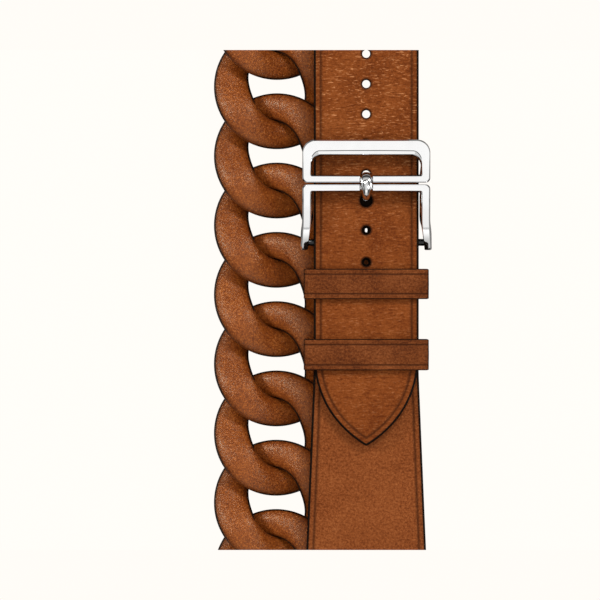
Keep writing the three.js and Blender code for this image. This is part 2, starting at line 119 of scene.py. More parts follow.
# ---- Mesh helpers ----
class Shell:
    """Collects points, faces and per-point marks, then becomes one object."""

    def __init__(self):
        self.points, self.faces, self.edge, self.crease_and_shade = [], [], [], []

    def point(self, place, edge=0.0, crease_and_shade=0.0):
        self.points.append(to_frame(place))
        self.edge.append(edge)
        self.crease_and_shade.append(crease_and_shade)
        return len(self.points) - 1

    def row(self, places):
        """Adds a row of (place, edge, crease) and returns its indices."""
        return [self.point(*p) for p in places]

    def band(self, a, b, looped=False):
        """Quads between two rows of equal length."""
        count = len(a)
        for i in range(count if looped else count - 1):
            j = (i + 1) % count
            self.faces.append((a[i], a[j], b[j], b[i]))

    def loft(self, rows, looped_rows=False):
        """A tube through closed rows: joined end to end when looped_rows, or else capped."""
        made = [self.row(r) for r in rows]
        for a, b in zip(made, made[1:]):
            self.band(a, b, looped=True)
        if looped_rows:
            self.band(made[-1], made[0], looped=True)
        else:
            self.faces.append(tuple(reversed(made[0])))
            self.faces.append(tuple(made[-1]))

    def make(self, name, material, body, replaces, weld=0.0, smooth_angle=35):
        """The object itself, riding on its body. Points nearer than weld (in mm) become one."""
        mesh = bpy.data.meshes.new(name)
        mesh.from_pydata([tuple(p) for p in self.points], [], self.faces)
        for key, values in (("edge", self.edge), ("crease_and_shade", self.crease_and_shade)):
            mesh.attributes.new(key, "FLOAT", "POINT").data.foreach_set("value", values)
        obj = bpy.data.objects.new(name, mesh)
        bpy.context.scene.collection.objects.link(obj)
        bm = bmesh.new()
        bm.from_mesh(mesh)
        if weld:
            bmesh.ops.remove_doubles(bm, verts=bm.verts, dist=weld * MM)
        bmesh.ops.recalc_face_normals(bm, faces=bm.faces)
        bm.to_mesh(mesh)
        bm.free()
        mesh.shade_smooth()
        mesh.set_sharp_from_angle(angle=math.radians(smooth_angle))
        mesh.materials.append(material)
        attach(obj, body)
        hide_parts(*replaces)


def catmull(points, count):
    """Evenly spaced points on the centripetal Catmull-Rom curve through points, ends included."""
    pts = [Vector(p) for p in points]
    ends = [pts[0] * 2 - pts[1]] + pts + [pts[-1] * 2 - pts[-2]]
    dense = []
    for i in range(len(pts) - 1):
        p0, p1, p2, p3 = ends[i : i + 4]
        d0, d1, d2 = (max((b - a).length, 1e-9) ** 0.5 for a, b in ((p0, p1), (p1, p2), (p2, p3)))
        t1 = ((p1 - p0) / d0 - (p2 - p0) / (d0 + d1) + (p2 - p1) / d1) * d1
        t2 = ((p2 - p1) / d1 - (p3 - p1) / (d1 + d2) + (p3 - p2) / d2) * d1
        for k in range(40):
            t = k / 40
            dense.append(
                p1 * (2 * t**3 - 3 * t**2 + 1) + t1 * (t**3 - 2 * t**2 + t)
                + p2 * (-2 * t**3 + 3 * t**2) + t2 * (t**3 - t**2)
            )
    dense.append(pts[-1])
    return resample(dense, count)


def resample(line, count):
    """count points evenly spaced along a polyline."""
    reach = [0.0]
    for a, b in zip(line, line[1:]):
        reach.append(reach[-1] + (b - a).length)
    out, i = [], 0
    for k in range(count):
        want = reach[-1] * k / (count - 1)
        while i < len(line) - 2 and reach[i + 1] < want:
            i += 1
        span = max(reach[i + 1] - reach[i], 1e-12)
        out.append(line[i].lerp(line[i + 1], min(max((want - reach[i]) / span, 0), 1)))
    return out


# ---- Materials ----
def new_material(name):
    material = bpy.data.materials.new(name)
    material.use_nodes = True
    tree = material.node_tree
    tree.nodes.clear()
    out = tree.nodes.new("ShaderNodeOutputMaterial")
    shader = tree.nodes.new("ShaderNodeBsdfPrincipled")
    tree.links.new(shader.outputs[0], out.inputs[0])
    return material, tree, shader


def node(tree, kind, inputs=None, **settings):
    """A node with its settings, and its inputs set to values or linked to sockets."""
    made = tree.nodes.new(kind)
    for key, value in settings.items():
        setattr(made, key, value)
    for key, value in (inputs or {}).items():
        socket = made.inputs[key]
        if isinstance(value, bpy.types.NodeSocket):
            tree.links.new(value, socket)
        else:
            socket.default_value = value
    return made


def math_node(tree, operation, a, b):
    return node(tree, "ShaderNodeMath", {0: a, 1: b}, operation=operation).outputs[0]


def ramp(tree, value, stops):
    """A colour ramp through (position, colour) stops."""
    made = node(tree, "ShaderNodeValToRGB", {0: value})
    while len(made.color_ramp.elements) < len(stops):
        made.color_ramp.elements.new(0.5)
    for element, (position, colour) in zip(made.color_ramp.elements, stops):
        element.position = position
        element.color = (*colour, 1)
    return made.outputs[0]


def mix_colour(tree, factor, a, b):
    """a where the factor is 0 and b where it is 1. Each may be a socket or a value."""
    made = node(tree, "ShaderNodeMix", data_type="RGBA", blend_type="MIX")
    made.clamp_factor = True
    for key, value in ((0, factor), (6, a), (7, b)):
        if isinstance(value, bpy.types.NodeSocket):
            tree.links.new(value, made.inputs[key])
        else:
            made.inputs[key].default_value = value if isinstance(value, float) else (*value, 1)
    return made.outputs[2]


def srgb(red, green, blue):
    """An 8-bit display colour as linear light."""
    return tuple(((c / 255 + 0.055) / 1.055) ** 2.4 for c in (red, green, blue))


# Edge paint, which is also painted shade on the keepers' turned-down ends and round the lining's holes.
EDGE_PAINT_AND_SHADE = srgb(14, 6, 4)
# Dye in the creases, and also painted shade along the rings' lower edges.
CREASE_DYE_AND_SHADE = srgb(62, 27, 9)
SHEEN_TINT = (1.0, 0.74, 0.5, 1.0)
# Sizes of the noise patterns, in cells per metre.
MOTTLE_SCALE = 150.0
SPECKLE_SCALE = 2600.0
WRINKLE_SCALE = 4000.0
HAIRLINE_SCALE = 9000.0
HAZE_SCALE = 260.0
# How much the pale flecks show: from this Y to that Y, in metres, and the share at each.
FLECKS_GROW = {1: 0.008, 2: 0.026, 3: 0.22, 4: 0.62}
FLECKS_FADE = {1: 0.04, 2: 0.06, 3: 1.0, 4: 0.35}


def leather(name, dark, mid, light, fleck, roughness=0.5, gloss=0.22, pebble=0.2, wrinkle=1.0, relief=0.5,
            cloud=1.0, pits=0.55, bump_strength=0.8):
    """Waxed calf: mottled dye, pebbles of the given size in mm, flecked wrinkles and painted edges."""
    material, tree, shader = new_material(name)
    place = node(tree, "ShaderNodeTexCoord").outputs["Object"]
    mottle = node(tree, "ShaderNodeTexNoise",
                  {"Vector": place, "Scale": MOTTLE_SCALE, "Detail": 4.0, "Roughness": 0.6})
    speckle = node(tree, "ShaderNodeTexNoise",
                   {"Vector": place, "Scale": SPECKLE_SCALE, "Detail": 3.0, "Roughness": 0.7})
    mottled = 0.45 * cloud
    shade = math_node(tree, "ADD", math_node(tree, "MULTIPLY", mottle.outputs[0], mottled),
                      math_node(tree, "MULTIPLY", speckle.outputs[0], 1.0 - mottled))
    dye_and_shade = ramp(tree, shade, [(0.32, dark), (0.5, mid), (0.68, light)])
    # Wrinkles run across the strap, a little aslant.
    stretch = node(tree, "ShaderNodeMapping",
                   {"Vector": place, "Scale": (0.26, 1.0, 1.0), "Rotation": (0, 0, -0.12)})
    folds = node(tree, "ShaderNodeTexNoise",
                 {"Vector": stretch.outputs[0], "Scale": WRINKLE_SCALE, "Detail": 2.5, "Roughness": 0.6,
                  "Distortion": 0.6})
    valleys = ramp(tree, folds.outputs[0], [(0.34, (1, 1, 1)), (0.47, (0, 0, 0))])
    ridges = ramp(tree, folds.outputs[0], [(0.58, (0, 0, 0)), (0.70, (1, 1, 1))])
    cells = node(tree, "ShaderNodeTexVoronoi",
                 {"Vector": place, "Scale": 1.0 / (pebble * MM), "Randomness": 1.0}, feature="F1")
    tops = ramp(tree, cells.outputs["Distance"], [(0.05, (1, 1, 1)), (0.62, (0, 0, 0))])
    edge = node(tree, "ShaderNodeAttribute", attribute_name="edge").outputs["Fac"]
    crease_and_shade = node(tree, "ShaderNodeAttribute", attribute_name="crease_and_shade").outputs["Fac"]
    between = math_node(tree, "SUBTRACT", 1.0, tops)
    tint = mix_colour(tree, math_node(tree, "MULTIPLY", between, pits * relief), dye_and_shade, dark)
    tint = mix_colour(tree, math_node(tree, "MULTIPLY", valleys, 0.7 * wrinkle), tint, dark)
    # The pale flecks grow through the buckle and fade again towards the turn.
    along = node(tree, "ShaderNodeSeparateXYZ", {0: place}).outputs["Y"]
    reach = node(tree, "ShaderNodeMapRange", {0: along, **FLECKS_GROW}).outputs[0]
    fade = node(tree, "ShaderNodeMapRange", {0: along, **FLECKS_FADE}).outputs[0]
    flecks = math_node(tree, "MULTIPLY", math_node(tree, "MULTIPLY", ridges, reach), fade)
    flecks = math_node(tree, "MULTIPLY", flecks, wrinkle)
    tint = mix_colour(tree, flecks, tint, fleck)
    # The crease mark is dye in the creases, and painted shade along the rings' lower edges.
    tint = mix_colour(tree, math_node(tree, "MULTIPLY", crease_and_shade, 0.95), tint, CREASE_DYE_AND_SHADE)
    # The edge mark is edge paint, and painted shade on the keepers' ends and round the lining's holes.
    tint = mix_colour(tree, edge, tint, EDGE_PAINT_AND_SHADE)
    tree.links.new(tint, shader.inputs["Base Color"])
    rough = math_node(tree, "ADD", math_node(tree, "MULTIPLY", speckle.outputs[0], 0.2), roughness - 0.1)
    tree.links.new(rough, shader.inputs["Roughness"])
    shader.inputs["Specular IOR Level"].default_value = gloss
    shader.inputs["Specular Tint"].default_value = SHEEN_TINT
    height = math_node(tree, "ADD", math_node(tree, "MULTIPLY", tops, relief),
                       math_node(tree, "MULTIPLY", folds.outputs[0], 1.2 * wrinkle))
    bump = node(tree, "ShaderNodeBump", {"Height": height, "Strength": bump_strength, "Distance": 0.06 * MM})
    tree.links.new(bump.outputs[0], shader.inputs["Normal"])
    return material


def steel(name, roughness=0.07):
    """Polished steel with faint hairlines and a slightly uneven polish."""
    material, tree, shader = new_material(name)
    place = node(tree, "ShaderNodeTexCoord").outputs["Object"]
    stretch = node(tree, "ShaderNodeMapping", {"Vector": place, "Scale": (0.03, 1.0, 1.0)})
    hair = node(tree, "ShaderNodeTexNoise",
                {"Vector": stretch.outputs[0], "Scale": HAIRLINE_SCALE, "Detail": 2.0})
    haze = node(tree, "ShaderNodeTexNoise", {"Vector": place, "Scale": HAZE_SCALE, "Detail": 3.0})
    shader.inputs["Metallic"].default_value = 1.0
    tone = ramp(tree, haze.outputs[0], [(0.3, (0.84, 0.84, 0.84)), (0.7, (0.90, 0.90, 0.90))])
    # Painted shade: the crease mark paints the steel near black in the top bar's groove, on the inner walls
    # and over the buckle bar.
    crease_and_shade = node(tree, "ShaderNodeAttribute", attribute_name="crease_and_shade").outputs["Fac"]
    tone = mix_colour(tree, crease_and_shade, tone, (0.04, 0.04, 0.04))
    tree.links.new(tone, shader.inputs["Base Color"])
    rough = math_node(tree, "ADD", math_node(tree, "MULTIPLY", haze.outputs[0], 0.05), roughness - 0.025)
    tree.links.new(rough, shader.inputs["Roughness"])
    bump = node(tree, "ShaderNodeBump", {"Height": hair.outputs[0], "Strength": 0.05, "Distance": 0.003 * MM})
    tree.links.new(bump.outputs[0], shader.inputs["Normal"])
    return material


TAN = leather("tan_grained", srgb(88, 36, 9), srgb(139, 71, 28), srgb(161, 90, 42), srgb(222, 152, 98),
              gloss=0.1)
TAN_CHAIN = leather("tan_chain", srgb(92, 36, 8), srgb(170, 86, 26), srgb(218, 126, 52), srgb(220, 150, 96),
                    roughness=0.33, gloss=0.6, pebble=0.22, wrinkle=0.0, relief=1.0, cloud=0.5, pits=0.6,
                    bump_strength=0.6)
TAN_FINE = leather("tan_fine", srgb(90, 38, 12), srgb(149, 80, 38), srgb(177, 104, 56), srgb(204, 136, 86),
                   gloss=0.1, pebble=0.2, wrinkle=0.4, relief=0.7, cloud=0.5)
KEEPER_TAN = leather("tan_keeper", srgb(60, 22, 8), srgb(126, 65, 28), srgb(164, 94, 50), srgb(190, 124, 78),
                     gloss=0.12, pebble=0.22, wrinkle=0.55, relief=0.7)
LINING_TAN = leather("lining", srgb(150, 98, 60), srgb(176, 122, 80), srgb(192, 140, 98), srgb(206, 158, 116),
                     roughness=0.65, gloss=0.1, pebble=0.3, wrinkle=0.2)
STEEL = steel("mirror_steel")


# ---- Curb chain ----
RING_STEPS = 128
RING_SIDES = 48


def ring(n):
    """A leather ring: a rounded bar that climbs over one neighbour and dips under the other."""
    shell = Shell()
    y = FIRST_LINK_Y - n * PITCH
    rows = []
    for i in range(RING_STEPS):
        angle = i / RING_STEPS * 2 * math.pi
        width = RING_WIDTH + RING_FULLER + RING_SWING * math.cos(2 * (angle - RING_LEAN))
        centre = RING_OUTER - width / 2
        rise = CHAIN_Z + RING_TWIST * math.sin(2 * angle)
        # The bar's edges are painted, as the straps' are. The paint is worn where a neighbour rubs.
        degrees = math.degrees(angle)
        inner_paint = 1 - 0.75 * (smoothstep(degrees, 28, 45) - smoothstep(degrees, 125, 145))
        outer_paint = 1 - 0.75 * (smoothstep(degrees, 32, 44) - smoothstep(degrees, 66, 78))
        row = []
        for k in range(RING_SIDES):
            turn = k / RING_SIDES * 2 * math.pi
            out, up = math.cos(turn), math.sin(turn)
            radius = centre + width / 2 * out
            place = (LANE_LEFT - radius * math.cos(angle), y - radius * math.sin(angle), rise + BAR_HALF * up)
            paint = (1 - smoothstep(abs(up), 0.38, 0.54)) * (inner_paint if out < 0 else outer_paint)
            # Painted shade: the bar is darker next to its painted edges, most of all along its lower edge.
            lower_edge = max(math.sin(angle) * out, 0)
            dye_and_shade = (0.2 + 0.35 * lower_edge) * (1 - smoothstep(abs(up), 0.4, 0.9))
            row.append((place, paint, dye_and_shade))
        rows.append(row)
    shell.loft(rows, looped_rows=True)
    number = f"{n + 1:02d}"
    shell.make(f"leather_ring_{number}", TAN_CHAIN, f"link_{number}", replaces=(f"chain_link_{number}",))


for place_in_chain in range(LINK_COUNT):
    ring(place_in_chain)


# ---- Strap layers ----
EDGE_ROUND = 0.32
# Across a strap's face, from its edge: (distance in, depth below the top, edge paint, crease).
TOP_PROFILE = [
    (0.0, EDGE_ROUND, 1, 0), (0.03, 0.19, 1, 0), (0.10, 0.09, 1, 0), (0.20, 0.02, 1, 0), (0.34, 0.0, 1, 0),
    (0.40, 0.0, 0, 0.25), (0.80, 0.0, 0, 0.05), (0.98, 0.02, 0, 0.35), (1.12, 0.08, 0, 0.8),
    (1.26, 0.09, 0, 0.8), (1.40, 0.03, 0, 0.4), (1.62, -0.01, 0, 0),
]
INNER_COLUMNS = 8


def cross_section(half, thickness):
    """Points round a strip's section: (across, height above its middle, edge, crease), from the low left."""
    top, low = thickness / 2, -thickness / 2
    left = [(-half + d, top - drop, e, c) for d, drop, e, c in TOP_PROFILE]
    inner = half - TOP_PROFILE[-1][0]
    centre = [(lerp(-inner, inner, i / INNER_COLUMNS), top, 0, 0) for i in range(1, INNER_COLUMNS)]
    right = [(-a, h, e, c) for a, h, e, c in reversed(left)]
    under_right = [(half, low + 0.1, 1, 0), (half - 0.1, low, 1, 0), (half - 0.4, low, 0, 0)]
    under_left = [(-a, h, e, c) for a, h, e, c in reversed(under_right)]
    return left + centre + right + under_right + under_left


def strip_rows(stops, thickness, offset, flip=False):
    """Rows of a strip along (place, half width) stops. Up is where the strip's outer face looks."""
    rows = []
    for i, (place, half) in enumerate(stops):
        before, after = stops[max(i - 1, 0)][0], stops[min(i + 1, len(stops) - 1)][0]
        along = (after - before).normalized()
        across = (Vector((1, 0, 0)) - along * along.x).normalized()
        up = along.cross(across)
        if flip:
            up = -up
        middle = place + up * offset
        rows.append([(middle + across * a + up * h, e, c) for a, h, e, c in cross_section(half, thickness)])
    return rows


def round_pin(x, y, z, radius, start, end, half, count=17):
    """Stops for the fold round a pin, from one angle to another."""
    angles = [lerp(start, end, i / (count - 1)) for i in range(count)]
    return [(Vector((x, y + radius * math.cos(a), z + radius * math.sin(a))), half) for a in angles]


def half_at(y):
    """Half the buckle strap's width, which grows towards the lug."""
    share = min(max((TAPER_START_Y - y) / (TAPER_START_Y - LUG_PIN_Y), 0), 1)
    return lerp(STRAP_HALF, LUG_HALF, share)


def flat_stops(start, end, z, count):
    ys = [lerp(start, end, i / (count - 1)) for i in range(count)]
    return [(Vector((LANE_RIGHT, y, z)), half_at(y)) for y in ys]


def buckle_strap():
    half, under, up = STRAP_HALF - 0.1, BUCKLE_BAR_Z - FOLD, math.pi / 2
    stops = [(Vector((LANE_RIGHT, BUCKLE_BAR_Y - FOLD_BACK, under)), half)]
    stops += round_pin(LANE_RIGHT, BUCKLE_BAR_Y, BUCKLE_BAR_Z, FOLD, -up, up, half)
    stops += flat_stops(BUCKLE_BAR_Y - 0.6, LUG_PIN_Y + 0.8, STRAP_TOP_Z, 40)
    stops += round_pin(LANE_RIGHT, LUG_PIN_Y, BUCKLE_BAR_Z, FOLD, up, 3 * up, LUG_HALF)
    stops += [(Vector((LANE_RIGHT, LUG_PIN_Y + FOLD_BACK, under)), half_at(LUG_PIN_Y + FOLD_BACK))]
    shell = Shell()
    shell.loft(strip_rows(stops, OUTER, 0))
    shell.make("buckle_strap_leather", TAN_FINE, "strap", replaces=("buckle_strap_outer",))
    shell = Shell()
    start, end = BUCKLE_BAR_Y - FOLD_BACK - 1.2, LUG_PIN_Y + FOLD_BACK + 1.2
    shell.loft(strip_rows(flat_stops(start, end, STRAP_TOP_Z, 24), LINING, -(OUTER + LINING) / 2 - PLY))
    shell.make("buckle_strap_lining_leather", LINING_TAN, "strap", replaces=("buckle_strap_lining",))


buckle_strap()


SIDE_STEPS = 30  # along the tail's straight side, and again along its curve
TIP_PULL_Y = -19.3  # Y of the middle control point of the curve from the shoulder to the tip


def tail_half():
    """Right half of the tail's outline from its straight side to its point, about the lane's centre."""
    line = [Vector((STRAP_HALF, lerp(TAIL_FLAT_END_Y, SHOULDER_Y, i / SIDE_STEPS)))
            for i in range(SIDE_STEPS + 1)]
    a = Vector((STRAP_HALF, SHOULDER_Y))
    b = Vector((STRAP_HALF - 0.1, TIP_PULL_Y))
    c = Vector((0.45, TIP_Y + 0.2))
    for i in range(1, SIDE_STEPS + 1):
        t = i / SIDE_STEPS
        line.append(a * (1 - t) ** 2 + b * 2 * t * (1 - t) + c * t * t)
    line += [Vector((0.22, TIP_Y + 0.06)), Vector((0.0, TIP_Y + 0.02))]
    return line


def inset(line, distance):
    """The half outline moved in by distance and cut off at the centre line, with as many points as before."""
    moved = []
    for i, p in enumerate(line):
        a, b = line[max(i - 1, 0)], line[min(i + 1, len(line) - 1)]
        along = (b - a).normalized()
        moved.append(p + Vector((along.y, -along.x)) * distance)
    straight, curved = moved[: SIDE_STEPS + 1], moved[SIDE_STEPS:]
    kept = [curved[0]]
    for a, b in zip(curved, curved[1:]):
        if b.x <= 0:
            kept.append(a.lerp(b, a.x / max(a.x - b.x, 1e-9)))
            break
        kept.append(b)
    kept[-1].x = 0.0
    return straight + resample(kept, len(line) - SIDE_STEPS)[1:]


def circle(y, rx, ry, grow, count=28):
    """A hole's outline about the lane's centre, widened by grow."""
    turns = [i / count * 2 * math.pi for i in range(count)]
    return [Vector(((rx + grow) * math.cos(t), y + (ry + grow) * math.sin(t))) for t in turns]


def plate_with_holes(shell, low, high, holes, top_profile, low_profile, hole_rims):
    """The tail from its point to its flat end, with a shaped edge and rimmed holes.

    Its flat end is left open. The turn's first row matches it, and the two are welded.
    """
    half = tail_half()

    def ring_row(distance, height, edge, crease_and_shade):
        right = inset(half, distance) if distance else half
        both = [Vector((p.x, p.y)) for p in right] + [Vector((-p.x, p.y)) for p in reversed(right[:-1])]
        row = shell.row([((LANE_RIGHT + p.x, p.y, height), edge, crease_and_shade) for p in both])
        return row, both

    rows = []
    for d, drop, e, c in reversed(top_profile):
        rows.append(ring_row(d, high - drop, e, c))
    for d, lift, e, c in low_profile:
        rows.append(ring_row(d, low + lift, e, c))
    for (a, _), (b, _) in zip(rows, rows[1:]):
        shell.band(a, b)
    for index, height, rims in ((0, high, True), (-1, low, False)):
        indices, flat = list(rows[index][0]), list(rows[index][1])
        inner = flat[0].x
        for i in range(1, INNER_COLUMNS):
            x = lerp(-inner, inner, i / INNER_COLUMNS)
            flat.append(Vector((x, TAIL_FLAT_END_Y)))
            indices.append(shell.point((LANE_RIGHT + x, TAIL_FLAT_END_Y, height)))
        count = len(flat)
        edges = [(i, (i + 1) % count) for i in range(count)]
        centres = []
        for hole in holes:
            rim = hole_rims[0][0] if rims else 0.0
            points = circle(*hole, rim)
            first = len(flat)
            flat += points
            # On the lining, the ring round each hole is painted black: painted shade.
            hole_shade = hole_rims[0][2] if rims else 0
            indices += shell.row([((LANE_RIGHT + p.x, p.y, height), hole_shade, 0) for p in points])
            edges += [(first + i, first + (i + 1) % len(points)) for i in range(len(points))]
            centres.append((hole, rim, indices[first:]))
        corners, _, faces, sources, _, _ = geometry.delaunay_2d_cdt(flat, edges, [], 1, 1e-7)
        where = {i: indices[ids[0]] for i, ids in enumerate(sources) if ids}
        for face in faces:
            middle = sum((corners[i] for i in face), Vector((0, 0))) / len(face)
            in_hole = any(math.hypot(middle.x / (rx + rim), (middle.y - y) / (ry + rim)) < 1
                          for (y, rx, ry), rim, _ in centres)
            if not in_hole:
                shell.faces.append(tuple(where[i] for i in face))
        if rims:
            walls = []
            for hole, _, row in centres:
                for grow, drop, paint, mark in hole_rims[1:]:
                    places = circle(*hole, grow)
                    nxt = shell.row([((LANE_RIGHT + p.x, p.y, high - drop), paint, mark) for p in places])
                    shell.band(row, nxt, looped=True)
                    row = nxt
                walls.append(row)
        else:
            for row, (_, _, start) in zip(walls, centres):
                shell.band(row, start, looped=True)


# Round a hole: (growth, depth, edge paint, crease).
HOLE_RIMS = [(0.42, 0.0, 0, 0), (0.24, 0.02, 0, 0.45), (0.1, 0.08, 0, 1), (0.0, 0.2, 1, 0),
             (-0.02, 0.6, 1, 0)]
# Round a hole in the lining, the same columns: its top is painted black for 1.25 mm round the hole, as
# painted shade down the hole above.
LINING_RIMS = [(1.25, 0.0, 1, 0), (0.0, 0.01, 1, 0), (-0.02, 0.5, 1, 0)]
# Inner radius of a ring where an end loop goes round it.
LINK_RING_IN = RING_OUTER - RING_WIDTH - RING_SWING * math.cos(2 * (math.pi / 2 - RING_LEAN))
LOOP_GAP = 0.5  # clear space outside, above and below the ring's bar
LOOP_INNER_GAP = 0.98  # clear space inside the ring
LOOP_WALL = 1.0
LOOP_PAD = 7.0  # length of the flat end that is sewn to the strap
TURN_END_Y = FIRST_LINK_Y + RING_OUTER + LOOP_GAP + 1.4
TURN_END_Z = CHAIN_Z - 0.7 - 0.1 - LINING - PLY / 2
TURN_FLOOR_Z = OUTER + PLY / 2 + 0.45


def turn_stops(count=88):
    """The side view of the turn, moved across from one lane to the other along its length."""
    flat = TAIL_FLAT_END_Y
    profile = catmull(
        [
            (0, flat, TAIL_MID_Z), (0, flat + 5, TAIL_MID_Z + 0.05), (0, flat + 13, TAIL_MID_Z + 1.0),
            (0, flat + 20.5, TAIL_MID_Z + 1.0), (0, flat + 26, TAIL_MID_Z - 3.2),
            (0, flat + 26, TURN_FLOOR_Z + 3.4), (0, flat + 20.5, TURN_FLOOR_Z + 0.3),
            (0, flat + 13, TURN_FLOOR_Z),
            (0, TURN_END_Y + 4.5, TURN_END_Z - 0.3), (0, TURN_END_Y, TURN_END_Z),
        ],
        count + 1,
    )
    stops = []
    for i, place in enumerate(profile):
        share = i / count
        place.x = lerp(LANE_RIGHT, LANE_LEFT, smoothstep(share, 0.05, 0.9))
        stops.append((place, STRAP_HALF - 2.2 * smoothstep(share, 0.72, 1)))
    return stops


def long_strap():
    outer_holes = [(y, HOLE_RADIUS, HOLE_RADIUS) for y in HOLES] + [TONGUE_HOLE]
    # The lining's holes are a little smaller than the strap's, and one grips the tongue, so the lining's
    # black-painted rim shows down each hole as painted shade.
    lining_holes = [(y, HOLE_RADIUS - 0.08, HOLE_RADIUS - 0.08) for y in HOLES[:5]]
    lining_holes += [(HOLES[5], 0.24, 0.38), (HOLES[6], 0.4, 0.4), (PIVOT_Y - 2.3, 0.62, 0.62)]
    for name, material, thickness, lift, part, holes, rims in (
        ("long_strap_leather", TAN, OUTER, (OUTER + PLY) / 2, "long_strap_outer", outer_holes, HOLE_RIMS),
        ("long_strap_lining_leather", LINING_TAN, LINING, -(LINING + PLY) / 2, "long_strap_lining",
         lining_holes, LINING_RIMS),
    ):
        shell = Shell()
        middle = TAIL_MID_Z + lift
        low = [(0.0, 0.1, 1, 0), (0.1, 0.0, 1, 0), (0.4, 0.0, 0, 0)]
        plate_with_holes(shell, middle - thickness / 2, middle + thickness / 2, holes, TOP_PROFILE, low, rims)
        rows = strip_rows(turn_stops(), thickness, lift, flip=True)
        # The first row sits squarely on the flat tail's end.
        rows[0] = [((LANE_RIGHT + a, TAIL_FLAT_END_Y, middle + h), e, c)
                   for a, h, e, c in cross_section(STRAP_HALF, thickness)]
        made = [shell.row(r) for r in rows]
        for a, b in zip(made, made[1:]):
            shell.band(a, b, looped=True)
        shell.faces.append(tuple(made[-1]))
        shell.make(name, material, "strap", replaces=(part,), weld=0.004)


long_strap()


# ---- Keepers ----
def keeper(name, part, body, y0, y1):
    """A leather band round both straps, with a crease along each edge."""
    low = BUCKLE_BAR_Z - FOLD - OUTER / 2 - 0.1
    high = TAIL_TOP_Z + 0.1
    inner = KEEPER_HALF - KEEPER_WALL
    corner = 1.0
    shell = Shell()
    route = []
    x1, z0, z1 = KEEPER_HALF, low - KEEPER_WALL, high + KEEPER_WALL
    for cx, cz, start in ((x1 - corner, z0 + corner, -90), (x1 - corner, z1 - corner, 0),
                          (-x1 + corner, z1 - corner, 90), (-x1 + corner, z0 + corner, 180)):
        for i in range(9):
            a = math.radians(start + 90 * i / 8)
            route.append((Vector((cx + corner * math.cos(a), cz + corner * math.sin(a))),
                          Vector((math.cos(a), math.sin(a)))))
    length = y1 - y0
    # Round the band's own section: (along Y, depth below its outer face, edge, crease).
    outer = [(0.0, 0.35, 1, 0), (0.04, 0.16, 1, 0), (0.12, 0.03, 0.9, 0), (0.2, 0.0, 0, 0), (0.72, 0.0, 0, 0),
             (0.84, 0.05, 0, 0.7), (0.93, 0.10, 0, 1), (1.02, 0.05, 0, 0.7), (1.14, 0.0, 0, 0)]
    section = outer + [(length / 2, -0.02, 0, 0)] + [(length - a, d, e, c) for a, d, e, c in reversed(outer)]
    section += [(length, KEEPER_WALL - 0.1, 1, 0), (length - 0.1, KEEPER_WALL, 1, 0),
                (0.1, KEEPER_WALL, 1, 0), (0.0, KEEPER_WALL - 0.1, 1, 0)]
    rows = []
    for place, out in route:
        row = []
        for along, depth, e, c in section:
            # The creases fade where the band turns down at its ends, and there the band is painted near black
            # as painted shade.
            level = abs(out.y)
            p = place - out * (depth * level if c or 0 <= depth < 0.02 else depth)
            e = max(e, 0.92 * (1 - smoothstep(level, 0.35, 0.75)))
            # The inside corners are tight.
            if depth > corner / 2:
                p = Vector((max(-inner, min(inner, p.x)), max(low, min(high, p.y))))
            row.append(((LANE_RIGHT + p.x, y0 + along, p.y), e, c))
        rows.append(row)
    shell.loft(rows, looped_rows=True)
    shell.make(name, KEEPER_TAN, body, replaces=(part,))


keeper("fixed_keeper_band", "fixed_keeper", "strap", 0.15, 5.35)
keeper("free_keeper_band", "free_keeper", "free_keeper", -12.05, -6.7)


# ---- Lug strap and end loops ----
LAST_LINK_Y = FIRST_LINK_Y - (LINK_COUNT - 1) * PITCH
LUG_STRAP_TOP_Y = LAST_LINK_Y - RING_OUTER - LOOP_GAP - 1.4
CHAIN_PIN_Y = LUG_STRAP_TOP_Y - 24


def lug_strap():
    up = math.pi / 2
    start_z, end_z = TURN_END_Z - PLY / 2 - OUTER / 2, CHAIN_LUG_Z - FOLD
    run = []
    for i in range(40):
        share = i / 39
        y = lerp(LUG_STRAP_TOP_Y, CHAIN_PIN_Y + 0.9, share)
        z = lerp(start_z, end_z, smoothstep(share, 0, 1))
        run.append((Vector((LANE_LEFT, y, z)), lerp(6.8, LUG_HALF, smoothstep(share, 0, 0.8))))
    stops = run + round_pin(LANE_LEFT, CHAIN_PIN_Y, CHAIN_LUG_Z, FOLD, -up, -3 * up, LUG_HALF)
    back = Vector((LANE_LEFT, CHAIN_PIN_Y + FOLD_BACK * 0.7, CHAIN_LUG_Z + FOLD))
    stops += [(back, LUG_HALF - 0.4)]
    shell = Shell()
    shell.loft(strip_rows(stops, OUTER, 0, flip=True))
    shell.make("lug_strap_leather", TAN_FINE, "lug_strap", replaces=("lug_strap_outer",))
    end = CHAIN_PIN_Y + FOLD_BACK * 0.7 + 1.2
    lining = [(p, h) for p, h in run if p.y > end]
    shell = Shell()
    shell.loft(strip_rows(lining, LINING, (OUTER + LINING) / 2 + PLY))
    shell.make("lug_strap_lining_leather", LINING_TAN, "lug_strap", replaces=("lug_strap_lining",))


lug_strap()

# ---- Steel ----
BEVEL = 0.24
INNER_BEVEL = 0.12
FACET = 0.63  # width of the sloping facet inside the top bar
NECK = 1.15  # the bars stop here, on each side of the tongue's eye
NECK_RADIUS = 0.34
EYE_HOLE = 1.2


def arc(x, y, radius, start, end, count=9):
    """Points along an arc, angles in degrees."""
    turns = [math.radians(lerp(start, end, i / (count - 1))) for i in range(count)]
    return [Vector((x + radius * math.cos(t), y + radius * math.sin(t))) for t in turns]


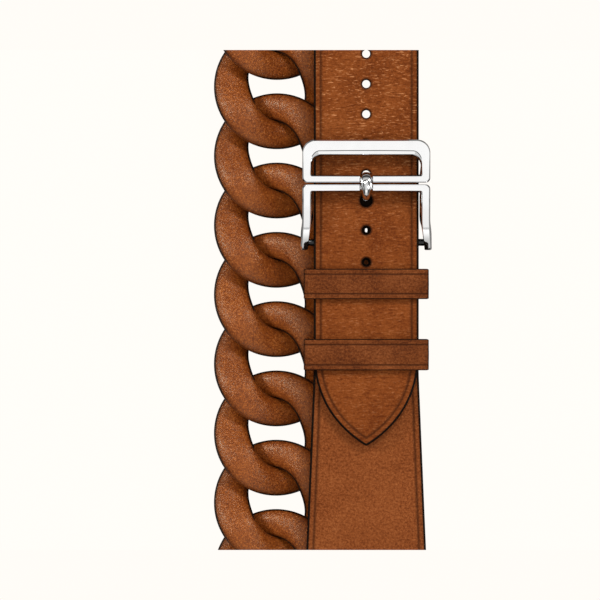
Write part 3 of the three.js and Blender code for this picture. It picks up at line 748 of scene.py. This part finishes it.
def bar_row(outer, inner, up, half, facet):
    """A flat steel bar's section from its outer to its inner side, with a facet along the inner side.

    The third mark paints the groove and the inner wall dark, as painted shade.
    """
    across = inner - outer
    width = across.length
    across.normalize()
    groove, depth, fall = 0.08, 0.09, facet * 0.16
    # Only the top bar has a marked groove. The inner walls slope, most on the frame's sides.
    mark = smoothstep(facet, 0.26, 0.5)
    wall = smoothstep(facet, 0.2, 0.22)
    slope = lerp(0.1, 0.34, abs(across.x)) * wall
    section = [
        (0, -half + BEVEL, 0), (0, half - BEVEL, 0), (BEVEL, half, 0), (width - facet - groove, half, 0),
        (width - facet, half - depth * mark, mark), (width - facet + groove, half - 0.01, 0),
        (width - INNER_BEVEL, half - fall, 0), (width, half - fall - INNER_BEVEL, 0.3 * wall),
        (width + slope, -half + BEVEL, wall), (width + slope - BEVEL, -half, wall), (BEVEL, -half, 0),
    ]
    return [(Vector((LANE_RIGHT, 0, 0)) + outer + across * t + up * h, 0, c) for t, h, c in section]


def chamfered(rows, depth=0.14, keep=0.72):
    """Adds a smaller first and last row, so that a bar's ends are chamfered."""

    def smaller(row, inner_row):
        middle = sum((p for p, _, _ in row), Vector((0, 0, 0))) / len(row)
        inner = sum((p for p, _, _ in inner_row), Vector((0, 0, 0))) / len(inner_row)
        out = (middle - inner).normalized() * depth
        return [(middle + (p - middle) * keep + out, e, c) for p, e, c in row]

    return [smaller(rows[0], rows[1])] + rows + [smaller(rows[-1], rows[-2])]


PIN_SIDES = 28
PIN_CHAMFER = 0.12


def turned(shell, stops, y, z, dark=0.0):
    """A round steel bar along X through (x, radius) stops, with x from the right lane's centre."""
    turns = [k / PIN_SIDES * 2 * math.pi for k in range(PIN_SIDES)]
    rows = []
    for x, radius in stops:
        # dark paints the bar near black, as painted shade.
        rows.append([((LANE_RIGHT + x, y + radius * math.cos(t), z + radius * math.sin(t)), 0, dark)
                     for t in turns])
    shell.loft(rows)


def pin_stops(reach):
    """A pin of the buckle bar's radius from -reach to reach, chamfered at both ends."""
    thin = BAR - PIN_CHAMFER
    return [(-reach, thin), (-reach + PIN_CHAMFER, BAR), (reach - PIN_CHAMFER, BAR), (reach, thin)]


def neck(shell, y):
    """The thin middle of a frame's bar, inside the tongue's eye."""
    turned(shell, [(-NECK - 0.2, NECK_RADIUS), (NECK + 0.2, NECK_RADIUS)], y, HINGE_Z)


def mirrored(stations):
    """The stations again on the other side of the lane, so that a frame runs from neck to neck."""
    flip = Vector((-1, 1, 1))
    other = [(o * flip, i * flip, u * flip, h, f) for o, i, u, h, f in reversed(stations)]
    return stations + other


LEG_LEAN = 0.3  # how far the legs' feet stand outwards
LEG_NARROWING = 0.25  # how much narrower the feet are
FOOT_HALF = 1.8  # half a leg's depth at its foot


def upper_frame():
    inner = BUCKLE_HALF - SIDE_WIDTH
    foot, head = UPPER_BAR_Y - BAR, UPPER_BAR_Y + BAR
    top = FRAME_TOP_Y - TOP_BAR_WIDTH
    outers = [Vector((-NECK, foot)), *arc(-BUCKLE_HALF + 0.8, foot + 0.8, 0.8, 270, 180, 17),
              *arc(-BUCKLE_HALF + 2.2, FRAME_TOP_Y - 2.2, 2.2, 180, 90, 17), Vector((-3.0, FRAME_TOP_Y))]
    inners = [Vector((-NECK, head)), *arc(-inner + 0.25, head + 0.25, 0.25, 270, 180, 17),
              *arc(-inner + 1.7, top - 1.7, 1.7, 180, 90, 17), Vector((-3.0, top))]
    stations = []
    up = Vector((0, 0, 1))
    for k, (a, b) in enumerate(zip(outers, inners)):
        share = smoothstep(k, 18, 34)
        facet = lerp(INNER_BEVEL + 0.1, FACET + 0.1, share)
        stations.append((Vector((a.x, a.y, HINGE_Z)), Vector((b.x, b.y, HINGE_Z)), up, FRAME_HALF, facet))
    shell = Shell()
    shell.loft(chamfered([bar_row(*s) for s in mirrored(stations)]))
    neck(shell, UPPER_BAR_Y)
    shell.make("buckle_arch", STEEL, "upper_frame", replaces=("buckle_upper_frame",), smooth_angle=8)


def lower_frame():
    inner = BUCKLE_HALF - SIDE_WIDTH
    head, foot = LOWER_BAR_Y + BAR, LOWER_BAR_Y - BAR
    outers = [Vector((-NECK, head)), *arc(-BUCKLE_HALF + 0.8, head - 0.8, 0.8, 90, 180)]
    inners = [Vector((-NECK, foot)), *arc(-inner + 0.25, foot - 0.25, 0.25, 90, 180)]
    stations = []
    up = Vector((0, 0, 1))
    for a, b in zip(outers, inners):
        sides = Vector((a.x, a.y, HINGE_Z)), Vector((b.x, b.y, HINGE_Z))
        stations.append((*sides, up, FRAME_HALF, INNER_BEVEL + 0.1))
    leg = catmull([(0, LOWER_BAR_Y - 1.5, HINGE_Z - 0.06), (0, LOWER_BAR_Y - 3.4, HINGE_Z - 0.4),
                   (0, LOWER_BAR_Y - 6.9, HINGE_Z - 2.25), (0, BUCKLE_BAR_Y, BUCKLE_BAR_Z + 1.0)], 22)
    last = (leg[-1] - leg[-2]).normalized()
    ends = [(leg[-1] + last * 0.5 * math.sin(a), FOOT_HALF * math.cos(a))
            for a in (0.3, 0.6, 0.9, 1.15, 1.35)]
    path = [(p, lerp(FRAME_HALF, FOOT_HALF, smoothstep(i, 4, 21))) for i, p in enumerate(leg)] + ends
    for i, (place, half) in enumerate(path):
        before, after = path[max(i - 1, 0)][0], path[min(i + 1, len(path) - 1)][0]
        along = (after - before).normalized()
        up = Vector((0, along.z, -along.y))
        # The legs lean outwards and narrow towards their ends.
        share = smoothstep(i, 8, len(leg))
        lean = LEG_LEAN * share
        narrow = lean + LEG_NARROWING * share
        sides = place + Vector((-BUCKLE_HALF - lean, 0, 0)), place + Vector((-inner - narrow, 0, 0))
        facet = INNER_BEVEL + 0.1 - 0.02 * smoothstep(i, 10, 18)
        stations.append((*sides, up, max(half, BEVEL + 0.03), facet))
    # From the left leg's end up to the neck, then the same on the right.
    stations.reverse()
    left = [bar_row(*s) for s in stations]
    right = [bar_row(*s) for s in mirrored(stations)[len(stations):]]
    shell = Shell()
    shell.loft(chamfered(left))
    shell.loft(chamfered(right))
    neck(shell, LOWER_BAR_Y)
    shell.make("buckle_legs", STEEL, "strap", replaces=("buckle_lower_frame",), smooth_angle=12)


def buckle_bar():
    """The bar between the legs, painted dark as painted shade from the strap's fold round it."""
    shell = Shell()
    turned(shell, pin_stops(BUCKLE_HALF - SIDE_WIDTH + 0.65), BUCKLE_BAR_Y, BUCKLE_BAR_Z, dark=1.0)
    shell.make("buckle_bar_pin", STEEL, "strap", replaces=("buckle_bar",))


EYE_STEPS = 56
TONGUE_SIDES = 20


def tongue():
    """An eye round both necks, and a hook that comes down into a hole."""
    shell = Shell()
    turns = [k / TONGUE_SIDES * 2 * math.pi for k in range(TONGUE_SIDES)]
    wall = 0.375
    eye_middle = EYE_HOLE + wall
    rows = []
    for i in range(EYE_STEPS):
        turn = i / EYE_STEPS * 2 * math.pi
        out = Vector((0, math.cos(turn), math.sin(turn)))
        half = 0.98 - 0.30 * math.cos(turn) ** 2
        row = []
        for t in turns:
            # A rounded section, fuller than an ellipse.
            a = math.copysign(abs(math.cos(t)) ** 0.75, math.cos(t)) * half
            b = math.copysign(abs(math.sin(t)) ** 0.75, math.sin(t)) * wall
            row.append((Vector((LANE_RIGHT + a, PIVOT_Y, HINGE_Z)) + out * (eye_middle + b), 0, 0))
        rows.append(row)
    shell.loft(rows, looped_rows=True)
    # The hook's middle line: (towards the strap's tip, above the eye's middle).
    places = [(-0.7, 1.35), (0.5, 1.55), (1.55, 1.0), (2.3 - 0.12, -0.1), (2.3, -1.3), (2.3, -2.8)]
    line = catmull([(LANE_RIGHT, PIVOT_Y - r, HINGE_Z + h) for r, h in places], 34)
    rows = []
    for i, place in enumerate(line):
        share = i / (len(line) - 1)
        along = (line[min(i + 1, len(line) - 1)] - line[max(i - 1, 0)]).normalized()
        radius = lerp(0.7, 0.56, smoothstep(share, 0.4, 1))
        # Both ends are rounded off.
        if share > 0.94:
            radius *= math.sqrt(max(1 - ((share - 0.94) / 0.062) ** 2, 0.05))
        if share < 0.08:
            radius *= math.sqrt(max(1 - ((0.08 - share) / 0.084) ** 2, 0.05))
        row = []
        for t in turns:
            cos, sin = math.cos(t), math.sin(t)
            p = place + Vector((radius * cos, -along.z * radius * sin, along.y * radius * sin))
            # The arm stays outside the eye's hole.
            spoke = Vector((0, p.y - PIVOT_Y, p.z - HINGE_Z))
            if spoke.length < EYE_HOLE:
                p += spoke.normalized() * (EYE_HOLE - spoke.length)
            row.append((p, 0, 0))
        rows.append(row)
    shell.loft(rows)
    shell.make("buckle_tongue", STEEL, "tongue", replaces=("tongue",))


def offset_outline(points, distance):
    """A closed outline moved inwards by distance, its points running anticlockwise."""
    moved = []
    for i, p in enumerate(points):
        a = (p - points[i - 1]).normalized()
        b = (points[(i + 1) % len(points)] - p).normalized()
        bisector = Vector((-a.y - b.y, a.x + b.x))
        moved.append(p + bisector * (2 * distance / max(bisector.length_squared, 0.2)))
    return moved


def lug(name, part, pin_name, pin_part, body, x, pin_y, pin_z):
    """A flat bar with two ears that hold the lug pin."""
    wide, bay = LUG_HALF + 1.4, LUG_HALF + 0.2
    back, front, deep = pin_y - 4.2, pin_y + 1.3, pin_y - FOLD - OUTER / 2 - 0.25
    outline = arc(-wide + 1.6, back + 1.6, 1.6, 180, 270) + arc(wide - 1.6, back + 1.6, 1.6, 270, 360)
    outline += arc(wide - 0.45, front - 0.45, 0.45, 0, 90) + arc(bay + 0.3, front - 0.3, 0.3, 90, 180, 5)
    outline += arc(bay - 0.5, deep + 0.5, 0.5, 0, -90, 5) + arc(-bay + 0.5, deep + 0.5, 0.5, -90, -180, 5)
    outline += arc(-bay - 0.3, front - 0.3, 0.3, 0, 90, 5) + arc(-wide + 0.45, front - 0.45, 0.45, 90, 180)
    half, soft = 1.55, 0.22
    shell = Shell()
    rows = []
    for inward, height in ((soft, -half), (0.06, -half + 0.06), (0, -half + soft),
                           (0, half - soft), (0.06, half - 0.06), (soft, half)):
        rows.append([((x + p.x, p.y, pin_z + height), 0, 0) for p in offset_outline(outline, inward)])
    shell.loft(rows)
    shell.make(name, STEEL, body, replaces=(part,), smooth_angle=40)
    shell = Shell()
    turned(shell, [(x - LANE_RIGHT + a, r) for a, r in pin_stops(wide - 0.45)], pin_y, pin_z)
    shell.make(pin_name, STEEL, body, replaces=(pin_part,))


upper_frame()
lower_frame()
buckle_bar()
tongue()
lug("strap_lug", "buckle_lug", "strap_lug_pin", "buckle_lug_pin", "buckle_lug",
    LANE_RIGHT, LUG_PIN_Y, BUCKLE_BAR_Z)
lug("ring_lug", "chain_lug", "ring_lug_pin", "chain_lug_pin", "chain_lug",
    LANE_LEFT, CHAIN_PIN_Y, CHAIN_LUG_Z)


# ---- End loops: a leather eye round a ring, with a flat sewn pad ----
LOOP_HALF = 1.9
LOOP_PAD_HALF = 4.6
# The loop leans with the ring's bar, which climbs there.
LOOP_TWIST = math.atan(2 * RING_TWIST / (RING_OUTER - RING_WIDTH / 2))


def end_loop(name, part, body, ring_y, side):
    far = RING_OUTER + LOOP_GAP + LOOP_WALL / 2
    near = LINK_RING_IN - LOOP_INNER_GAP - LOOP_WALL / 2
    high = BAR_HALF + LOOP_GAP + LOOP_WALL / 2
    corner = high * 0.8
    lean = Matrix.Rotation(-LOOP_TWIST, 3, "Y")
    home = Vector((LANE_LEFT, ring_y, CHAIN_Z))

    def place(local):
        return home + Vector((local.x * side, local.y * side, local.z))

    outline = arc(far - corner, high - corner, corner, 0, 90)
    outline += arc(near + corner, high - corner, corner, 90, 180)
    outline += arc(near + corner, corner - high, corner, 180, 270)
    outline += arc(far - corner, corner - high, corner, 270, 360)
    shell = Shell()
    rows = []
    for i, p in enumerate(outline):
        along = (outline[(i + 1) % len(outline)] - outline[i - 1]).normalized()
        out = Vector((0, along.y, -along.x))
        rows.append([(place(lean @ (Vector((a, p.x, p.y)) + out * h)), e, c)
                     for a, h, e, c in cross_section(LOOP_HALF, LOOP_WALL)])
    shell.loft(rows, looped_rows=True)
    start, end = RING_OUTER + LOOP_GAP + LOOP_WALL * 0.5, RING_OUTER + LOOP_GAP + LOOP_PAD
    rows = []
    for i in range(15):
        share = i / 14
        half = lerp(2.6, LOOP_PAD_HALF, smoothstep(share, 0, 0.22)) - 0.5 * smoothstep(share, 0.93, 1)
        rows.append([(place(Vector((a, lerp(start, end, share), -0.225 + h * 0.95))), e, c)
                     for a, h, e, c in cross_section(half, 1.0)])
    shell.loft(rows)
    shell.make(name, TAN_FINE, body, replaces=(part,))


end_loop("turn_loop_leather", "turn_end_loop", "strap", FIRST_LINK_Y, 1)
end_loop("lug_loop_leather", "lug_end_loop", "lug_strap", LAST_LINK_Y, -1)


# ---- Floor, light and camera ----
PAPER = (1.02, 0.976, 0.932)  # the pale ground, as the camera sees it
ACROSS = 102.857 * MM  # width of the view at the top of the tail
VIEW_MIDDLE_X = -3.857
SENSOR = 36.0
LENS = 600.0
MATTE_DROP = 5.0 * MM  # from the lens down to the two mattes
MATTE_SHARE = 1 / 12  # of the frame, covered at the top and again at the bottom


def glowing(name, bounce, shown):
    """Pale where the camera looks at it, and a plain matt surface of the bounce colour for the light."""
    material, tree, shader = new_material(name)
    shader.inputs["Base Color"].default_value = (*bounce, 1)
    shader.inputs["Roughness"].default_value = 0.95
    glow = node(tree, "ShaderNodeEmission", {"Color": (*PAPER, 1), "Strength": 1.0 / shown})
    seen = node(tree, "ShaderNodeLightPath").outputs["Is Camera Ray"]
    mix = node(tree, "ShaderNodeMixShader",
               {0: math_node(tree, "MULTIPLY", seen, shown), 1: shader.outputs[0], 2: glow.outputs[0]})
    out = next(n for n in tree.nodes if n.type == "OUTPUT_MATERIAL")
    tree.links.new(mix.outputs[0], out.inputs[0])
    return material


def flat_sheet(name, x0, y0, x1, y1, z, material):
    mesh = bpy.data.meshes.new(name)
    mesh.from_pydata([(x0, y0, z), (x1, y0, z), (x1, y1, z), (x0, y1, z)], [], [(0, 1, 2, 3)])
    mesh.materials.append(material)
    sheet = bpy.data.objects.new(name, mesh)
    bpy.context.scene.collection.objects.link(sheet)


def studio_light():
    world = bpy.data.worlds.new("studio")
    bpy.context.scene.world = world
    world.use_nodes = True
    tree = world.node_tree
    # A dim horizon under a bright ceiling.
    way = node(tree, "ShaderNodeTexCoord").outputs["Generated"]
    upward = node(tree, "ShaderNodeSeparateXYZ", {0: way}).outputs["Z"]
    sky = ramp(tree, upward, [(0.0, (0.01,) * 3), (0.3, (0.06,) * 3), (0.6, (0.55,) * 3), (1.0, (0.72,) * 3)])
    back = tree.nodes["Background"]
    tree.links.new(sky, back.inputs[0])
    back.inputs[1].default_value = 1.0

    def softbox(name, place, size, radiance, target=(0, 0, 0.01)):
        """A glowing panel of the given radiance, turned to the target. All in metres."""
        data = bpy.data.lights.new(name, "AREA")
        data.shape = "RECTANGLE"
        data.size, data.size_y = size
        data.energy = radiance * math.pi * size[0] * size[1]
        data.color = (1.0, 0.99, 0.97)
        light = bpy.data.objects.new(name, data)
        bpy.context.scene.collection.objects.link(light)
        light.location = place
        light.rotation_mode = "QUATERNION"
        light.rotation_quaternion = (Vector(target) - Vector(place)).to_track_quat("-Z", "Y")
        light.visible_camera = False

    softbox("key_left", (-0.62, 0.28, 0.41), (0.16, 0.16), 28.0)
    softbox("key_right", (0.24, 0.48, 0.59), (0.15, 0.15), 27.0)
    softbox("fill_right", (0.6, -0.15, 0.36), (0.3, 0.3), 5.0)
    softbox("front", (0, -0.9, 0.40), (1.0, 0.75), 0.62)
    softbox("overhead", (0, -0.475, 1.2), (0.3, 1.25), 0.36, target=(0, -0.475, 0))


def camera():
    """A long lens straight above, and the two mattes that crop the picture."""
    data = bpy.data.cameras.new("camera")
    data.sensor_width = SENSOR
    data.lens = LENS
    data.dof.use_dof = False
    distance = ACROSS * LENS / SENSOR
    obj = bpy.data.objects.new("camera", data)
    bpy.context.scene.collection.objects.link(obj)
    obj.location = to_frame((VIEW_MIDDLE_X, 0, TAIL_TOP_Z)) + Vector((0, 0, distance))
    data.clip_start, data.clip_end = 0.001, 20
    bpy.context.scene.camera = obj
    # The picture is cropped flat above and below: two specks of paper under the lens stand for that.
    paper = glowing("paper", (0.8, 0.8, 0.8), 1.0)
    half = MATTE_DROP * SENSOR / LENS / 2
    inner = half * (1 - 2 * MATTE_SHARE)
    x, y, z = obj.location
    outer = half * 1.06
    flat_sheet("matte_top", x - outer, y + inner, x + outer, y + outer, z - MATTE_DROP, paper)
    flat_sheet("matte_bottom", x - outer, y - outer, x + outer, y - inner, z - MATTE_DROP, paper)


flat_sheet("floor", -3.0, -3.0, 3.0, 3.0, -0.0002, glowing("pale_floor", (0.2, 0.195, 0.19), 0.95))
studio_light()
camera()
bpy.context.scene.view_settings.view_transform = "Standard"
